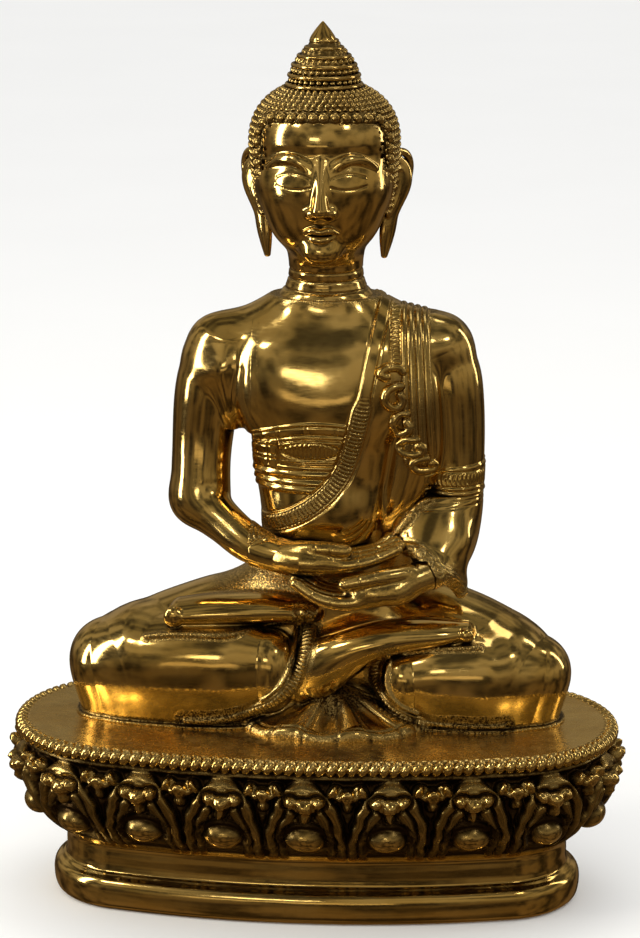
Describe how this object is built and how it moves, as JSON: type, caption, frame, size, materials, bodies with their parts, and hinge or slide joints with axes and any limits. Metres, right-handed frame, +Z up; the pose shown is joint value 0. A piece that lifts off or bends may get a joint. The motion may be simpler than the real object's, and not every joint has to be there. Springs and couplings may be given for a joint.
{
  "type": "buddha statue",
  "caption": "Seated brass figure in meditation on an oval lotus pedestal, cast in hollow sections that plug, pin and bolt together.",
  "frame": {"origin": "middle of the standing face, under the centre of the pedestal", "axes": "+Z up, -Y towards the viewer the figure faces, +X to the viewer's right (the figure's own left)"},
  "size_m": [0.2036, 0.0976, 0.2903],
  "materials": {
    "polished_brass": "hand-polished cast brass with dark patina in the recesses",
    "plate_brass": "dull rolled sheet",
    "pin_brass": "drawn rod, satin",
    "zinc_steel": "zinc-plated, satin"
  },
  "bodies": {
    "root": {"lotus_pedestal": "polished_brass", "base_plate": "plate_brass", "base_plate_screws": "pin_brass", "lower_body": "polished_brass", "torso": "polished_brass", "head": "polished_brass", "crown_jewel": "polished_brass", "right_arm": "polished_brass", "right_hand": "polished_brass", "left_forearm": "polished_brass", "left_hand": "polished_brass", "waist_pins": "pin_brass", "neck_pin": "pin_brass", "shoulder_pin": "pin_brass", "sleeve_pin": "pin_brass", "wrist_pins": "pin_brass", "fixing_studs": "zinc_steel", "stud_washers": "zinc_steel", "stud_nuts": "zinc_steel"}
  },
  "joints": []
}
